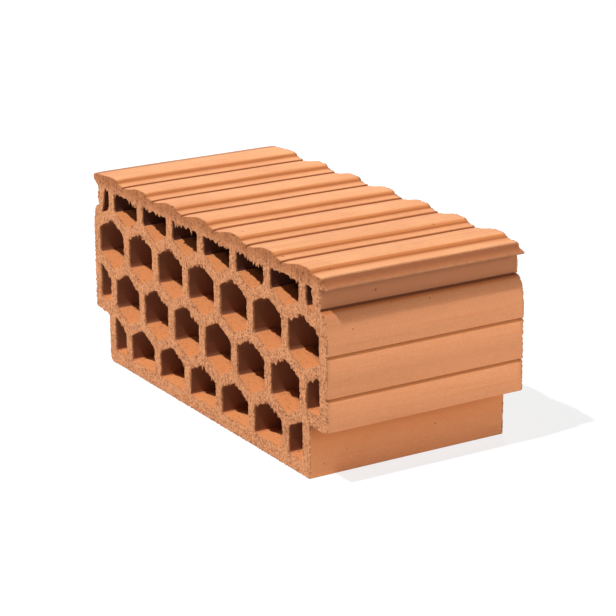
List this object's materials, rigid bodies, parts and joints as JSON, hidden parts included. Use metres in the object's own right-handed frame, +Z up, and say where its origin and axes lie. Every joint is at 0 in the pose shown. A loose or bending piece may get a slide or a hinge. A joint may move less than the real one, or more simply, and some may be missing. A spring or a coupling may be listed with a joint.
{
  "type": "clay ceiling block",
  "caption": "Extruded fired-clay ceiling infill block with honeycomb cells, a ribbed top, side grooves and a narrower foot that leaves side ledges to rest on floor beams.",
  "frame": {"origin": "middle of the flat foot, at the bottom of the bounding box", "axes": "+X across the block from beam to beam, +Y along the extrusion, from one cut face to the other, +Z up"},
  "size_m": [0.525, 0.25, 0.23],
  "materials": {
    "fired_clay": "matte unglazed fired clay, drag-lined on the extruded faces, rough and torn on the two wire-cut ends"
  },
  "bodies": {
    "root": {"ceiling_block": "fired_clay"}
  },
  "joints": []
}
